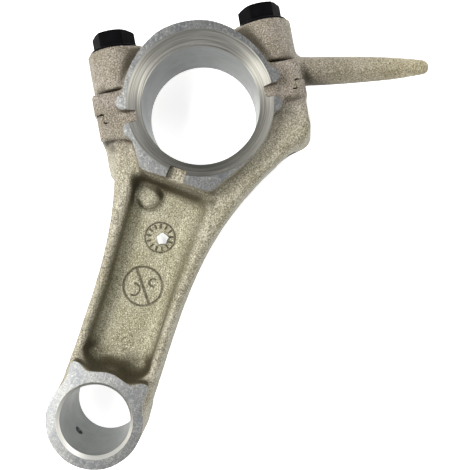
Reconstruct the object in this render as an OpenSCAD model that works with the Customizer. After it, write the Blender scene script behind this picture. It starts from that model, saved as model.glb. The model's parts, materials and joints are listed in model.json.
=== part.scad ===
// Connecting rod of a small splash-lubricated engine: rod, cap with oil dipper, and two cap bolts.
// Origin: centre of the crank pin bore. +X runs to the small end and +Z along the bore.

/* [Overall] */
// Distance between the centres of the two bores
centre_distance = 84; // [76:1:104]
// Width of the big end across its thrust faces
big_end_width = 25; // [21:0.5:32]
// Width of the small end across its faces
small_end_width = 20; // [17:0.5:26]
// Angle between the parting plane and the line across the rod
split_angle = 29; // [22:1:34]

/* [Bores] */
// Diameter of the crank pin bore
big_bore_d = 30; // [24:0.5:38]
// Radial width of the chamfer at each mouth of the crank pin bore
big_chamfer_w = 3.3; // [2:0.1:3.6]
// Depth of that chamfer
big_chamfer_h = 3.2; // [2:0.1:4]
// Diameter of the piston pin bore
small_bore_d = 18; // [14:0.5:22]
// Chamfer at each mouth of the piston pin bore
small_chamfer = 0.8; // [0.4:0.1:1.2]
// Wall round the piston pin bore
small_wall = 3.5; // [2.5:0.1:5]
// Diameter of the oil hole in that wall
oil_hole_d = 2; // [1:0.1:3]
// Angle of the oil hole from the rod's centreline
oil_hole_angle = -28; // [-60:1:60]

/* [Big end] */
// Width of the rod's thrust ring, outside the bore
rod_ring_wall = 3.8; // [3.7:0.1:6]
// Width of the cap's thrust ring beside the joint, outside the bore
cap_ring_wall = 4.4; // [4:0.1:7]
// How much thicker the cap's thrust ring is at its crown
cap_crown = 1.1; // [0:0.1:2]
// Distance from the bore to the straight edge of the thrust face on the shank side
apron_wall = 5.3; // [4.5:0.1:8]
// Half the length of that straight edge
apron_half = 10; // [7:0.5:12]
// Radius of the four small lobes of the thrust face beside the joint
lobe_r = 1.9; // [1:0.1:2.6]
// Half the width of the unmachined gap across the thrust face at the joint
relief_half = 1.6; // [1:0.1:2.4]
// Depth of that gap and of the notch in the thrust face
relief_depth = 2.2; // [1:0.1:3]
// Half the width of the notch on the centreline
notch_half = 2.2; // [1:0.1:3]
// Half the height of the pads that meet at the joint
pad_half = 9.5; // [8:0.1:11]
// Bevel along the outer edges of those pads
pad_bevel = 2; // [0.5:0.1:2.4]
// Length of each pad on the cap
cap_pad = 7.5; // [5:0.1:9]
// Length of the pad on the rod, dipper side
rod_pad_dipper = 2.3; // [1.5:0.1:6]
// Length of the pad on the rod, plain side
rod_pad_plain = 4.7; // [1.5:0.1:6]
// Height of the rod's lips, which stand outside the cap and centre it
lip_height = 2; // [1:0.1:3]
// Thickness of those lips
lip_wall = 2.8; // [2.5:0.1:3.2]

/* [Cap bolts] */
// Thread diameter
bolt_d = 7; // [5.5:0.1:8.5]
// Length of each bolt under its head
bolt_length = 32; // [28:0.1:38.5]
// Distance from the parting plane to the seats under the bolt heads
seat_height = 19.3; // [17:0.1:23.2]
// Height of the turned round seat that tops each boss
seat_step = 0.8; // [0.4:0.1:1.5]
// How much smaller that seat's radius is than its boss's
seat_inset = 0.15; // [0.05:0.05:0.4]
// Metal between the crank pin bore and the bolt holes
bolt_wall = 1.3; // [1:0.05:3]
// Metal round each bolt hole
boss_wall = 3.6; // [2.5:0.05:5]
// Hexagon across its flats
hex_af = 10; // [9:0.1:12]
// Slope of the chamfer on the hexagon's corners, outwards over downwards
chamfer_slope = 3; // [2:0.1:4]
// Whole height of the head
head_height = 5.5; // [4.5:0.1:7]
// Thickness of the flange under the hexagon, at its rim
flange_rim = 0.9; // [0.5:0.1:1.5]
// Diameter of that flange
flange_d = 13.8; // [12:0.1:14.2]
// Height of the cone between the flange's rim and the hexagon
flange_cone = 0.9; // [0.5:0.1:1.5]
// Chamfer at the tip of each bolt
tip_chamfer = 0.8; // [0.4:0.1:1.2]
// Length of the tapped holes past the tips of the bolts
tip_gap = 1.1; // [0.5:0.1:2]
// Radial clearance of the bolt in its thread
thread_clearance = 0.05; // [0.02:0.01:0.1]
// Radial clearance of the bolt in the cap
shank_clearance = 0.25; // [0.15:0.05:0.4]
// Clearance at the sides and over the lips
lip_clearance = 0.1; // [0.05:0.05:0.2]

/* [Shank] */
// Half the width of the shank at its waist
waist_half = 11.8; // [10:0.1:14]
// Distance from the piston pin bore to the waist
waist_distance = 25; // [20:1:34]
// Half the height of the two flanges
flange_half = 8; // [7:0.1:9.5]
// Width of each flange at the waist
flange_width = 3.2; // [2.5:0.1:5]
// How much wider the pocket is, each side, at the big end than at the waist
pocket_flare = 1.6; // [0:0.1:3]
// Half the thickness of the web between them
web_half = 2; // [1.5:0.1:3]
// Radius of the two round ends of the pocket beside the small end
pocket_lobe_r = 4.2; // [3:0.1:5]
// Radius of the raised round pad in the pocket's corner
corner_pad_r = 3.7; // [2.5:0.1:4.5]
// Half the height of that pad
corner_pad_half = 3; // [2.5:0.1:5]
// Half the width of the low rib between the pocket's two round ends
rib_half = 0.9; // [0.4:0.1:1.5]
// Half the length of the straight shoulder of the small end's faces
shoulder_half = 10.8; // [9:0.1:11.5]

/* [Dipper] */
// Distance of the dipper's tip from the bore's centreline
dipper_reach = 62; // [50:0.5:80]
// Radius of the dipper beside the cap
dipper_root_r = 3.8; // [3:0.1:5]
// Distance from the parting plane to the dipper's axis beside the cap
dipper_root_d = 6.1; // [4:0.1:9]
// Slope of the dipper's axis towards the parting plane
dipper_slope = 8.3; // [0:0.1:15]
// How much of its full ellipse the dipper keeps before its blunt tip
dipper_cut = 0.9; // [0.8:0.01:0.96]
// Share of the blunt tip's radius that is rounded off
dipper_tip_round = 0.6; // [0.3:0.05:0.8]

/* [Hidden] */
$fn = 96;
e = 0.01;
far = 200;
cast_colour = [0.66, 0.62, 0.54];
bolt_colour = [0.08, 0.08, 0.09];

// Overshoot of a cut past the face it starts from
over = 1;
// How far inside a round outline the end of another outline starts, so that they cross
inset = 0.3;

big_r = big_bore_d / 2;
small_r = small_bore_d / 2;
small_outer_r = small_r + small_wall;
rod_ring_r = big_r + rod_ring_wall;
cap_ring_r = big_r + cap_ring_wall;
// Reach of the lobes beside the joint, past their ring
lobe_reach = 1.2;
apron_x = big_r + apron_wall;
// Corner of the thrust face beside its straight edge, across the rod and along it
apron_corner = [1, 1.8];

bolt_r = bolt_d / 2 - thread_clearance;
thread_hole_r = bolt_d / 2;
// Depth of the thread in its hole, past which the tap drill's smaller hole runs on
thread_cut = 0.45;
drill_r = thread_hole_r - thread_cut;
cap_hole_r = bolt_r + shank_clearance;
// Distance of the bolts from the centreline, square to them
bolt_u = big_r + bolt_wall + cap_hole_r;
boss_r = cap_hole_r + boss_wall;
// How far the sides of the joint's pads stand past the bosses
pad_step = 0.2;
// Distance of those sides from the centreline
ear_u = bolt_u + boss_r + pad_step;
// The pads' bevel is this much longer down their sides than across them
bevel_slope = 1.6;
pad_bevel_run = bevel_slope * pad_bevel;
// Depths in the rod, from the parting plane
tip_depth = bolt_length - seat_height;
thread_depth = tip_depth + tip_gap;
boss_end = 11.6;
boss_round = 3;
// Metal past the end of the blind hole and round it
cover_end = 1.6;
cover_side = 1.2;

waist_x = centre_distance - waist_distance;
shank_end_half = small_outer_r - inset;
ear_corner = [-bolt_u * sin(split_angle) + boss_end * cos(split_angle),
              bolt_u * cos(split_angle) + boss_end * sin(split_angle) + boss_r - boss_round];
flare_power = 2.5;
taper_power = 2;
// The pocket starts this far from the thrust face's edge
pocket_gap = 1;
pocket_start = apron_x + pocket_gap;
// It runs this far into the round outline of the small end
pocket_overrun = 0.9;
pocket_end = centre_distance - small_outer_r + pocket_overrun;
// How far its two round ends reach past the line of its sides
pocket_lobe_bulge = 0.4;
// How far the rib between them starts past their centres
rib_start = 1.6;
// Where the pocket's straight start meets its flared sides, in from that start and from the side
pocket_corner = 2;
// How far the small end's shoulder stands out towards the big end
shoulder_lead = 0.8;
shoulder_x = centre_distance - small_outer_r - shoulder_lead;
// Gap between the round pad and the pocket's start
corner_pad_gap = 0.9;
corner_pad_x = pocket_start + corner_pad_r + corner_pad_gap;
// How far the flat on top of the hexagon stays inside its sides
crown_inset = 0.2;
flare_steps = 18;
taper_steps = 6;
tip_steps = 4;

// How far x has gone from the waist to another place along the rod, from 0 to 1
function share(x, place) = (x - waist_x) / (place - waist_x);

// Half the width of the shank at a distance x from the crank pin bore
function flank(x) =
    x > waist_x
    ? waist_half + (shank_end_half - waist_half) * pow(share(x, centre_distance), taper_power)
    : waist_half + (ear_corner[1] - waist_half) * pow(share(x, ear_corner[0]), flare_power);

// Half the width of the pocket
function pocket_side(x) =
    waist_half - flange_width + pocket_flare * max(0, share(x, pocket_start));

// The centre of the pad in the pocket's corner, which just cuts into the pocket's side
corner_pad_place = [corner_pad_x, corner_pad_r - inset - pocket_side(corner_pad_x)];

// Even steps from a to b
function walk(a, b, n) = [for (i = [0:n]) a + (b - a) * i / n];

// Frame of the joint: its X runs into the rod, square to the parting plane, and its Y to the dipper
module joint_frame() {
    rotate([0, 0, split_angle])
        children();
}

// A cylinder along a bolt's axis, between two distances from the parting plane, the rod's side positive
module along_bolt(side, from, to, r, r_end = -1) {
    joint_frame()
        translate([from, side * bolt_u, 0])
            rotate([0, 90, 0])
                cylinder(h = to - from, r1 = r, r2 = r_end < 0 ? r : r_end);
}

// Everything on one side of the parting plane: +1 for the rod's side and -1 for the cap's
module joint_side(side) {
    joint_frame()
        translate([side * far / 2, 0, 0])
            cube([far, far, far], center = true);
}

// A flat bar between two limits along each axis of the joint's frame
module joint_block(x, y, half) {
    joint_frame()
        translate([x[0], y[0], -half])
            cube([x[1] - x[0], y[1] - y[0], 2 * half]);
}

// A pad at the joint, from the bore out to a bevelled outer edge, between two distances into the rod
module joint_pad(side, from, to, inner) {
    low = pad_half - pad_bevel_run;
    joint_frame()
        translate([from, 0, 0])
            rotate([90, 0, 90])
                linear_extrude(to - from)
                    polygon([
                        [side * inner, -pad_half],
                        [side * (ear_u - pad_bevel), -pad_half],
                        [side * ear_u, -low],
                        [side * ear_u, low],
                        [side * (ear_u - pad_bevel), pad_half],
                        [side * inner, pad_half]
                    ]);
}

module slab(half) {
    linear_extrude(2 * half, center = true)
        children();
}

// The crank pin bore with a chamfer at each mouth
module big_bore() {
    cylinder(h = big_end_width + over, r = big_r, center = true);
    for (side = [0, 180])
        rotate([side, 0, 0])
            translate([0, 0, big_end_width / 2 - big_chamfer_h])
                cylinder(h = big_chamfer_h + e, r1 = big_r, r2 = big_r + big_chamfer_w);
}

// The piston pin bore with its chamfers and the oil hole in its wall
module small_bore() {
    translate([centre_distance, 0, 0]) {
        cylinder(h = small_end_width + over, r = small_r, center = true);
        for (side = [0, 180])
            rotate([side, 0, 0])
                translate([0, 0, small_end_width / 2 - small_chamfer])
                    cylinder(h = small_chamfer + e, r1 = small_r, r2 = small_r + small_chamfer);
        rotate([0, 90, oil_hole_angle])
            translate([0, 0, small_r - over])
                cylinder(h = small_wall + 2 * over, d = oil_hole_d);
    }
}

// A shallow cut in both thrust faces, as large as its size says
module face_cut(size) {
    for (z = [-1, 1])
        translate([0, 0, z * (big_end_width - relief_depth + over) / 2])
            cube([size[0], size[1], relief_depth + over], center = true);
}

// The unmachined gap across both thrust faces at the joint
module joint_relief() {
    joint_frame()
        face_cut([2 * relief_half, far]);
}

// The notch in the middle of the thrust faces' straight edges
module apron_notch() {
    translate([apron_x, 0, 0])
        face_cut([2 * rod_ring_wall, 2 * notch_half]);
}

// Rounded corners of the thrust face beside the joint, which reach a little past its ring
module joint_lobes(ring_r, side) {
    lobe_x = relief_half + lobe_r;
    lobe_y = ring_r + lobe_reach - lobe_r;
    for (y = [-1, 1])
        joint_frame()
            translate([side * lobe_x, y * lobe_y, 0])
                cylinder(h = big_end_width, r = lobe_r, center = true);
}

// Outline of the shank between the two ends
module shank_outline() {
    out = walk(ear_corner[0], waist_x, flare_steps);
    taper = walk(waist_x, centre_distance, taper_steps);
    back = walk(waist_x, boss_end, flare_steps);
    polygon(concat(
        [[0, 0]],
        [for (x = out) [x, flank(x)]],
        [for (i = [1:taper_steps]) [taper[i], flank(taper[i])]],
        [for (i = [taper_steps:-1:1]) [taper[i], -flank(taper[i])]],
        [for (x = back) [x, -flank(x)]]
    ));
}

// Outline of the pocket on each face of the shank
module pocket_outline() {
    lobe_x = pocket_end - pocket_lobe_r;
    lobe_y = waist_half - flange_width - pocket_lobe_r + pocket_lobe_bulge;
    rib_end = lobe_x + rib_start;
    start_half = pocket_side(pocket_start) - pocket_corner;
    xs = walk(pocket_start + pocket_corner, lobe_x, flare_steps);
    polygon(concat(
        [[pocket_start, start_half]],
        [for (x = xs) [x, pocket_side(x)]],
        [[rib_end, rib_half], [rib_end, -rib_half]],
        [for (i = [flare_steps:-1:0]) [xs[i], -pocket_side(xs[i])]],
        [[pocket_start, -start_half]]
    ));
    for (y = [-1, 1])
        translate([lobe_x, y * lobe_y])
            circle(r = pocket_lobe_r);
}

// The thrust face's outline on the shank side of the joint
module apron_outline() {
    inside_ring = rod_ring_r - inset;
    corner_x = apron_x - apron_corner[0];
    corner_y = apron_half + apron_corner[1];
    polygon([
        [0, -inside_ring],
        [corner_x, -corner_y],
        [apron_x, -apron_half],
        [apron_x, apron_half],
        [corner_x, corner_y],
        [0, inside_ring]
    ]);
}

// The end of a cap bolt's boss inside the rod, with a rounded rim
module rod_boss(side) {
    joint_frame()
        translate([0, side * bolt_u, 0])
            rotate([0, 90, 0])
                rotate_extrude() {
                    square([boss_r - boss_round, boss_end + boss_round]);
                    square([boss_r, boss_end]);
                    intersection() {
                        translate([boss_r - boss_round, boss_end])
                            circle(r = boss_round);
                        square([boss_r, boss_end + boss_round]);
                    }
                }
}

// The two flanges and the web, with the shoulders of the small end
module shank() {
    difference() {
        union() {
            slab(flange_half)
                shank_outline();
            translate([shoulder_x, -shoulder_half, -small_end_width / 2])
                cube([small_outer_r, 2 * shoulder_half, small_end_width]);
        }
        for (z = [web_half, -far - web_half])
            translate([0, 0, z])
                linear_extrude(far)
                    pocket_outline();
    }
}

// Solid metal of the rod before it is bored
module rod_blank() {
    intersection() {
        union() {
            shank();
            cylinder(h = big_end_width, r = rod_ring_r, center = true);
            slab(big_end_width / 2)
                apron_outline();
            joint_lobes(rod_ring_r, 1);
            for (side = [-1, 1])
                rod_boss(side);
        }
        joint_side(1);
    }
    translate([centre_distance, 0, 0])
        cylinder(h = small_end_width, r = small_outer_r, center = true);
    joint_pad(1, 0, rod_pad_dipper, big_r);
    joint_pad(-1, 0, rod_pad_plain, big_r);
    translate(corner_pad_place)
        cylinder(h = 2 * corner_pad_half, r = corner_pad_r, center = true);
    along_bolt(-1, boss_end, thread_depth + cover_end, thread_hole_r + cover_side);
}

// Lips of the rod that stand up outside the cap
module rod_lips() {
    for (side = [-1, 1])
        joint_pad(side, -lip_height, e, ear_u - lip_wall);
}

// The rod. The plain side's bolt hole is blind, and the dipper side's runs out through the flank
module rod_body() {
    color(cast_colour)
        difference() {
            union() {
                rod_blank();
                rod_lips();
            }
            big_bore();
            small_bore();
            joint_relief();
            apron_notch();
            for (side = [-1, 1])
                along_bolt(side, -e, thread_depth, thread_hole_r);
            along_bolt(1, thread_depth - over, far, drill_r);
        }
}

// The oil dipper, a finger that narrows as an ellipse to a blunt round tip
module dipper() {
    root_y = bolt_u;
    length = (dipper_reach - root_y) / cos(dipper_slope);
    full = (dipper_reach - ear_u) / cos(dipper_slope) / dipper_cut;
    straight = length - full * dipper_cut;
    tip_r = dipper_root_r * sqrt(1 - dipper_cut * dipper_cut);
    round_r = dipper_tip_round * tip_r;
    s_end = length - round_r;
    joint_frame()
        translate([-dipper_root_d - (ear_u - root_y) * tan(dipper_slope), root_y, 0])
            rotate([-90, 0, -dipper_slope])
                rotate_extrude() {
                    polygon(concat(
                        [[0, 0], [dipper_root_r, 0]],
                        [for (s = walk(0, s_end - straight, flare_steps))
                            [dipper_root_r * sqrt(1 - s * s / (full * full)), straight + s]],
                        [for (a = walk(0, 90, tip_steps))
                            [tip_r - round_r * (1 - cos(a)) - e, s_end + round_r * sin(a)]],
                        [[0, length]]
                    ));
                }
}

// A cap bolt's boss, with the round turned seat on its top
module cap_boss(side) {
    along_bolt(side, -(seat_height - seat_step), 0, boss_r);
    along_bolt(side, -seat_height, 0, boss_r - seat_inset);
}

// Solid metal of the cap's half ring, its bosses and its pads
module cap_blank() {
    difference() {
        union() {
            joint_frame()
                translate([-cap_crown, 0, 0])
                    cylinder(h = big_end_width, r = cap_ring_r, center = true);
            joint_lobes(cap_ring_r, -1);
            for (side = [-1, 1]) {
                cap_boss(side);
                joint_pad(side, -cap_pad, 0, big_r);
            }
        }
        joint_side(1);
    }
}

module rod_cap() {
    lip_inner = ear_u - lip_wall - lip_clearance;
    lip_outer = ear_u + lip_clearance;
    color(cast_colour)
        difference() {
            union() {
                cap_blank();
                dipper();
            }
            big_bore();
            joint_relief();
            for (side = [-1, 1]) {
                along_bolt(side, -seat_height - over, over, cap_hole_r);
                joint_block([-lip_height - lip_clearance, dipper_root_r],
                            side > 0 ? [lip_inner, lip_outer] : [-lip_outer, -lip_inner], far / 2);
            }
        }
}

// A flanged hexagon bolt on the given side, with its head on the cap's seat
module cap_bolt(side) {
    hex_r = hex_af / 2 / cos(30);
    top = seat_height + head_height;
    rim = seat_height + flange_rim;
    crown_r = hex_af / 2 - crown_inset;
    color(bolt_colour) {
        along_bolt(side, -seat_height - e, tip_depth - tip_chamfer, bolt_r);
        along_bolt(side, tip_depth - tip_chamfer - e, tip_depth, bolt_r, bolt_r - tip_chamfer);
        along_bolt(side, -rim, -seat_height, flange_d / 2);
        along_bolt(side, -rim - flange_cone, -rim + e, hex_af / 2, flange_d / 2);
        intersection() {
            joint_frame()
                translate([-top, side * bolt_u, 0])
                    rotate([0, 90, 0])
                        cylinder(h = top - rim, r = hex_r, $fn = 6);
            along_bolt(side, -top, -seat_height, crown_r, crown_r + chamfer_slope * head_height);
        }
    }
}

module cap_bolt_plain_side() {
    cap_bolt(-1);
}

module cap_bolt_dipper_side() {
    cap_bolt(1);
}

rod_body();
rod_cap();
cap_bolt_plain_side();
cap_bolt_dipper_side();
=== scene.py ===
"""Looks of a small engine's connecting rod: a shot-blasted aluminium casting with machined faces and bores.

The rod and the cap are each modelled as a signed distance field, with the draft and the fillets of a
casting. The field becomes a mesh, and the machining is then cut into it, so that each machined surface
carries a finish of its own. The shapes are worked out in millimetres and the meshes are made in metres.
"""

import json
import math

import bmesh
import bpy
import numpy as np
from mathutils import Matrix, Vector


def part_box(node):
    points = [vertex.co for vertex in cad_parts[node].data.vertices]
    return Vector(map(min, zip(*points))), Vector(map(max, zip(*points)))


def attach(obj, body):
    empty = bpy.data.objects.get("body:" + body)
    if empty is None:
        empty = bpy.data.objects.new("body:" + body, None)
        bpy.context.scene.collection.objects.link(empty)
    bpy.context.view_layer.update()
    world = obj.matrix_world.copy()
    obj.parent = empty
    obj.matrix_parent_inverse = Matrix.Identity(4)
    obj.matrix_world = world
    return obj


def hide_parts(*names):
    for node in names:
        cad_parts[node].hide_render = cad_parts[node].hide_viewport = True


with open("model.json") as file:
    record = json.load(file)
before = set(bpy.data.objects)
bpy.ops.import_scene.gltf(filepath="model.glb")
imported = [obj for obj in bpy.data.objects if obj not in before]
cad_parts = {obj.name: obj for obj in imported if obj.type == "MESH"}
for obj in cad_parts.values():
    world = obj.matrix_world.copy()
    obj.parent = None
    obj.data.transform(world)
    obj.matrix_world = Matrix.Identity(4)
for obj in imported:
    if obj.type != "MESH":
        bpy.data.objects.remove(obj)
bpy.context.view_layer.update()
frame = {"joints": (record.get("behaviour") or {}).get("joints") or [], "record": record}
MM = 0.001

# ---------------------------------------------------------------- sizes taken from the frame

MOUNTS = {m["name"]: m for m in frame["record"]["mounts"]}
JOINTS = {j["name"]: j for j in frame["joints"]}
BIG_R = MOUNTS["big_end_bore"]["dims"]["r_mm"]
SMALL_R = MOUNTS["small_end_bore"]["dims"]["r_mm"]
CENTRE = MOUNTS["small_end_bore"]["pos_m"][0] / MM
BIG_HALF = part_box("rod_body")[1].z / MM
BOLT_U = Vector(JOINTS["dipper_bolt_turn"]["pos_m"]).length / MM
OUT = -Vector(JOINTS["cap_lift"]["axis"])
SPLIT = math.atan2(OUT.y, OUT.x)
EAR_U = BOLT_U + 7.5

# ---------------------------------------------------------------- sizes of the looks, in millimetres

STEP = 0.46  # spacing of the field's samples
PROUD = 0.4  # metal that the machining takes off a face
SMALL_HALF = 10.0
SMALL_OUTER = SMALL_R + 3.65
FLANGE_HALF = 8.0
WEB_HALF = 2.0
BOSS_R = 7.3
CAP_BOSS_R = 7.6
SEAT = 19.3
PAD_HALF = 9.5
LIP_HEIGHT = 2.0
LIP_INNER = 24.7
CAP_GAP = 0.1
SEAT_GAP = 0.01  # keeps the bolt's flange out of the seat's plane
WAIST_X = 59.0
WAIST_HALF = 11.95
RELIEF_DEPTH = 2.2
THREAD_PITCH = 1.0
THREAD_MAJOR = 3.45
THREAD_MINOR = 2.92
THREAD_GAP = 0.13  # wide enough for the facets of both threads to clear
THREAD_STEP = THREAD_PITCH / 10
BOLT_LENGTH = 32.0
BOLT_TIP = BOLT_LENGTH - SEAT  # depth of the bolt's tip in the rod
BOLT_HOLE_R = 3.7
SEAT_R = 8.1
HEX_ACROSS = 10.0
HEAD_HEIGHT = 5.5
HOLE_END = BOLT_TIP + 1.1
DRILL_R = 3.05
OIL_HOLE_R = 1.0
OIL_HOLE_TURN = math.radians(-28)
CHAMFER_WIDTH = 3.3
JOINT_GROOVE_HALF = 1.6
EAR_DIPPER, EAR_PLAIN = 16.1, 15.5  # how far the shank flares towards the big end on each side
EAR_REACH = 58.55
POCKET_START, POCKET_END = 21.3, 70.7
APRON_X = 20.3
DIPPER_ROOT = 27.0
DIPPER_LENGTH = 35.2
SPOT_X = 35.5
SPOT_RISE = 0.38
BEYOND = 60  # past the casting on every side
CREASE = 32  # degrees, from which an edge is sharp


# ---------------------------------------------------------------- distance fields

class Block:
    """Sample points on a grid, in millimetres, with the depth into the rod and the side in the joint's frame."""

    def __init__(self, low, high, step):
        spans = [np.arange(a, b + step, step, dtype=np.float32) for a, b in zip(low, high)]
        self.low = np.array([s[0] for s in spans], np.float32)
        self.step = step
        self.x, self.y, self.z = np.meshgrid(*spans, indexing="ij", sparse=True)
        self.depth = self.x * math.cos(SPLIT) + self.y * math.sin(SPLIT)
        self.side = self.y * math.cos(SPLIT) - self.x * math.sin(SPLIT)
        self.height = np.abs(self.z)


def both(a, b, r):
    """Where both solids are, with the shared edge rounded to a radius."""
    if r <= 0:
        return np.maximum(a, b)
    return np.minimum(np.maximum(a, b), -r) + np.hypot(np.maximum(a + r, 0), np.maximum(b + r, 0))


def either(a, b, r):
    """Where either solid is, with the corner between them filleted to a radius."""
    if r <= 0:
        return np.minimum(a, b)
    return np.maximum(np.minimum(a, b), r) - np.hypot(np.maximum(r - a, 0), np.maximum(r - b, 0))


def without(a, b, r):
    """The first solid less the second, with the edge of the cut rounded to a radius."""
    return both(a, -b, r)


def upright(outline, height, half, draft, edge):
    """An outline given a height, narrower towards its faces by the draft."""
    return both(outline + draft * height, height - half, edge)


def disc(x, y, cx, cy, r):
    """Distance in a plane from a circle."""
    return np.hypot(x - cx, y - cy) - r


def flank(x, dipper_side):
    """Half the width of the shank at mid height, on one side of its axis."""
    ear = np.where(dipper_side, EAR_DIPPER, EAR_PLAIN) * (np.clip(WAIST_X - x, 0, None) / EAR_REACH) ** 2.5
    taper = 0.45 * (np.clip(x - WAIST_X, 0, None) / 25) ** 2
    return np.where(dipper_side, WAIST_HALF, WAIST_HALF - 0.15) + ear + taper


def flank_field(b):
    """Distance from the shank's two sides, allowing for their slant."""
    side = b.y > 0
    rise = flank(b.x + 0.5, side) - flank(b.x - 0.5, side)
    return (np.abs(b.y) - flank(b.x, side)) / np.sqrt(1 + rise ** 2)


def pocket_field(b):
    """The pocket on each face of the shank: flared towards the big end, and two round lobes at the other."""
    half = 9.0 + 0.055 * np.clip(50 - b.x, 0, None)
    side, start = np.abs(b.y) - half, POCKET_START - b.x
    outline = np.where(b.y > 0, both(side, start, 5.0), both(side, start, 2.6))
    outline = both(outline, b.x - POCKET_END, 2.6)
    lobes = disc(b.x, np.abs(b.y), 68.6, 4.5, 3.6)
    outline = either(outline, lobes, 0.8)
    lean = 0.2 + 0.4 * np.clip((b.y + 1) / 7, 0, 1) * np.clip((56 - b.x) / 28, 0, 1)
    return both(outline + lean * (FLANGE_HALF - b.height), WEB_HALF - b.height, 3.0)


def shank_field(b):
    """The shank with its ears, the shoulder at the small end and the two pockets."""
    ear = np.maximum(b.side - EAR_U, -b.depth - 4)
    outline = both(flank_field(b), ear, 3.0)
    body = upright(outline, b.height, FLANGE_HALF, 0.075, 1.5)
    shoulder = both(np.abs(b.y) - 10.7, 70.6 - b.x, 1.6)
    shoulder = upright(shoulder, b.height, SMALL_HALF + PROUD, 0.05, 0.5)
    body = either(body, shoulder, 0.9)
    body = np.maximum(body, b.x - CENTRE)
    return without(body, pocket_field(b), 1.2)


def ring_field(b, radius):
    """The ring round the crank pin bore, with draft."""
    outline = np.hypot(b.x, b.y) - radius
    return outline + 0.06 * (b.height - BIG_HALF)


def lobe_field(b, radius, way):
    """The round corners of the thrust face on each side of the joint."""
    return disc(b.depth, np.abs(b.side), way * 3.5, radius - 0.7, 1.9)


def apron_field(b):
    """The thrust face's flat-ended outline on the shank side."""
    edge = b.x - APRON_X
    slant = edge * 0.52 + (np.abs(b.y) - np.where(b.y > 0, 9.4, 8.9)) * 0.854
    sides = np.maximum(np.abs(b.y) - 15.2, -b.x)
    return both(both(edge, slant, 1.2), sides, 2.5)


def big_end_field(b):
    """The rod's half of the thrust ring and its apron, with the groove and the notch."""
    ring = either(ring_field(b, 18.5), lobe_field(b, 18.9, 1), 0.7)
    face = either(ring, apron_field(b) + 0.06 * (b.height - BIG_HALF), 2.0)
    body = both(face, b.height - BIG_HALF - PROUD, 0.35)
    top = BIG_HALF - RELIEF_DEPTH
    body = without(body, np.maximum(np.abs(b.depth) - JOINT_GROOVE_HALF, top - b.height), 0.4)
    notch = np.maximum(np.maximum(np.abs(b.y) - 2.2, 16.9 - b.x), top - b.height)
    return without(body, notch, 0.35)


def boss_field(b, way, end):
    """A bolt's boss along the depth, from the joint to its end."""
    radial = np.hypot(np.abs(b.side) - BOLT_U, b.z) - (BOSS_R if way > 0 else CAP_BOSS_R)
    return both(radial, way * b.depth - end, 2.6 if way > 0 else 0.5)


def pad_field(b, way, plain, dipper):
    """The thicker pads that meet at the joint. Each has its own length on the plain and the dipper side."""
    length = np.where(b.side < 0, plain, dipper)
    reach = np.where(way * b.side < 0, EAR_U - 0.35, EAR_U)
    walls = both(np.abs(b.side) - reach + 0.05 * b.height, b.height - PAD_HALF, 1.6)
    return both(walls, way * b.depth - length, 0.9)


def rod_field(b):
    """The whole rod casting, before machining."""
    body = shank_field(b)
    bosses = np.maximum(boss_field(b, 1, 14.4), -b.depth)
    body = either(body, bosses, 1.6)
    pads = np.maximum(pad_field(b, 1, 4.7, 2.3), -b.depth - LIP_HEIGHT)
    pads = np.maximum(pads, BIG_R - np.abs(b.side))
    body = either(body, pads, 1.4)
    body = either(body, big_end_field(b), 2.6)
    small = np.hypot(b.x - CENTRE, b.y) - SMALL_OUTER
    small = upright(small, b.height, SMALL_HALF + PROUD, 0.03, 0.5)
    body = either(body, small, 0.8)
    corner_pad = either(disc(b.x, b.y, 26.0, -6.1, 4.6), disc(b.x, b.y, 23.6, -8.2, 4.4), 1.0)
    body = either(body, upright(corner_pad, b.height, 4.0, 0.45, 1.2), 1.0)
    around = np.arctan2(b.y - 0.9, b.x - SPOT_X)
    ragged = disc(b.x, b.y, SPOT_X, 0.9, 2.2) + 0.2 * np.sin(5 * around) + 0.12 * np.sin(11 * around)
    spot = upright(ragged, b.height, WEB_HALF + 0.6, 0.3, 0.15)
    body = either(body, spot, 0.3)
    cover = np.hypot(b.side + BOLT_U, b.z) - 4.7
    body = either(body, both(cover, np.maximum(b.depth - 15.4, 11 - b.depth), 1.0), 1.5)
    return body


def dipper_field(b):
    """The oil dipper: a finger that narrows to a blunt round tip."""
    along = b.side - DIPPER_ROOT
    line = 6.35 - 0.146 * along
    full = 39.2
    r = 3.8 * np.sqrt(np.clip(1 - (np.clip(along, 0, 34.5) / full) ** 2, 0, 1))
    radial = np.hypot(-b.depth - line, b.z) - r
    finger = both(radial, along - DIPPER_LENGTH, 1.3)
    return np.maximum(finger, 16 - b.side)


def cap_field(b):
    """The whole cap casting, before machining."""
    radius = 19.4 + 1.1 * np.clip(-b.depth / 19.4, 0, 1) ** 4
    ring = either(ring_field(b, radius), lobe_field(b, 19.5, -1), 0.7)
    body = both(ring, b.height - BIG_HALF - PROUD, 0.35)
    top = BIG_HALF - RELIEF_DEPTH
    body = without(body, np.maximum(np.abs(b.depth) - JOINT_GROOVE_HALF, top - b.height), 0.4)
    bosses = boss_field(b, -1, SEAT + PROUD)
    pads = np.maximum(pad_field(b, -1, 7.6, 7.6), 14.5 - np.abs(b.side))
    gusset = np.maximum(np.abs(b.side) - BOLT_U, 8.0 - np.abs(b.side))
    gusset = both(both(gusset, b.height - 5.2, 1.5), -b.depth - SEAT + 0.2, 1.0)
    body = either(body, gusset, 1.5)
    groove = np.maximum(np.abs(-b.depth - 8.0) - 0.4, 6.6 - np.hypot(np.abs(b.side) - BOLT_U, b.z))
    bosses = without(bosses, groove, 0.15)
    body = either(body, either(bosses, pads, 0.3), 1.9)
    body = np.maximum(body, b.depth - 1.5)
    return either(body, dipper_field(b), 1.8)


# ---------------------------------------------------------------- marks cast into the web

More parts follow.
